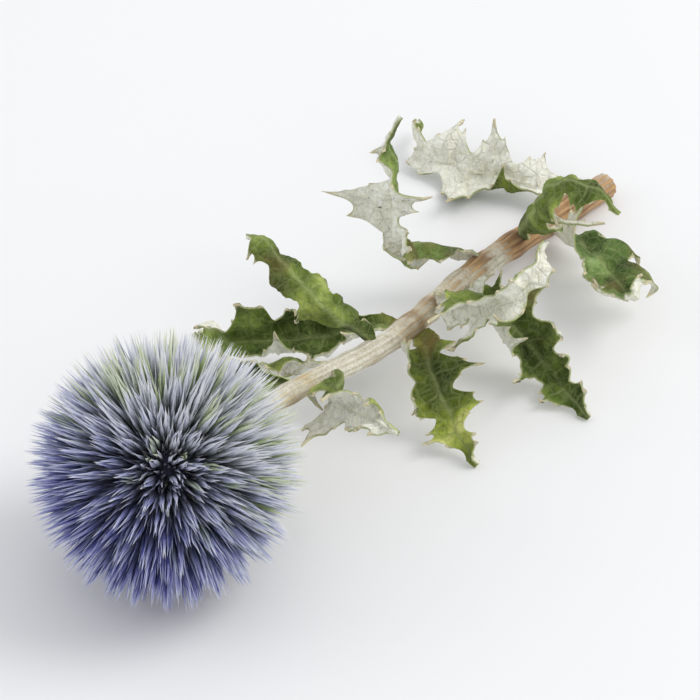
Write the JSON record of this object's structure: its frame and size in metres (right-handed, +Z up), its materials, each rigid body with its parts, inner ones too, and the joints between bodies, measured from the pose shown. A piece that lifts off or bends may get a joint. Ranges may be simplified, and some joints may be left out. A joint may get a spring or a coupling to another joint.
{
  "type": "globe thistle flower head",
  "caption": "Dried blue globe thistle lying on its side: a round head of spiny florets on a short ridged stalk with curled, spiny-lobed leaves.",
  "frame": {"origin": "middle of the footprint, on the surface that the flower lies on", "axes": "+Z up from the surface; +Y runs back from the globe along the stalk to its cut end; +X to the right seen from the globe's side"},
  "size_m": [0.0618, 0.1327, 0.0422],
  "materials": {
    "floret_bracts": "dry, spiny bracts, grey-green at the base, violet-blue in the middle, pale at the tips",
    "stalk_felt": "matt straw-grey, ridged, with fine white felt",
    "leaf": "matt dried leaf, dark green above and white-felted below"
  },
  "bodies": {
    "root": {"flower_head": "floret_bracts", "stalk": "stalk_felt", "leaf_1": "leaf", "leaf_2": "leaf", "leaf_3": "leaf", "leaf_4": "leaf", "leaf_5": "leaf", "leaf_6": "leaf", "leaf_7": "leaf", "leaf_8": "leaf", "leaf_9": "leaf", "leaf_10": "leaf", "leaf_11": "leaf", "leaf_12": "leaf"}
  },
  "joints": []
}
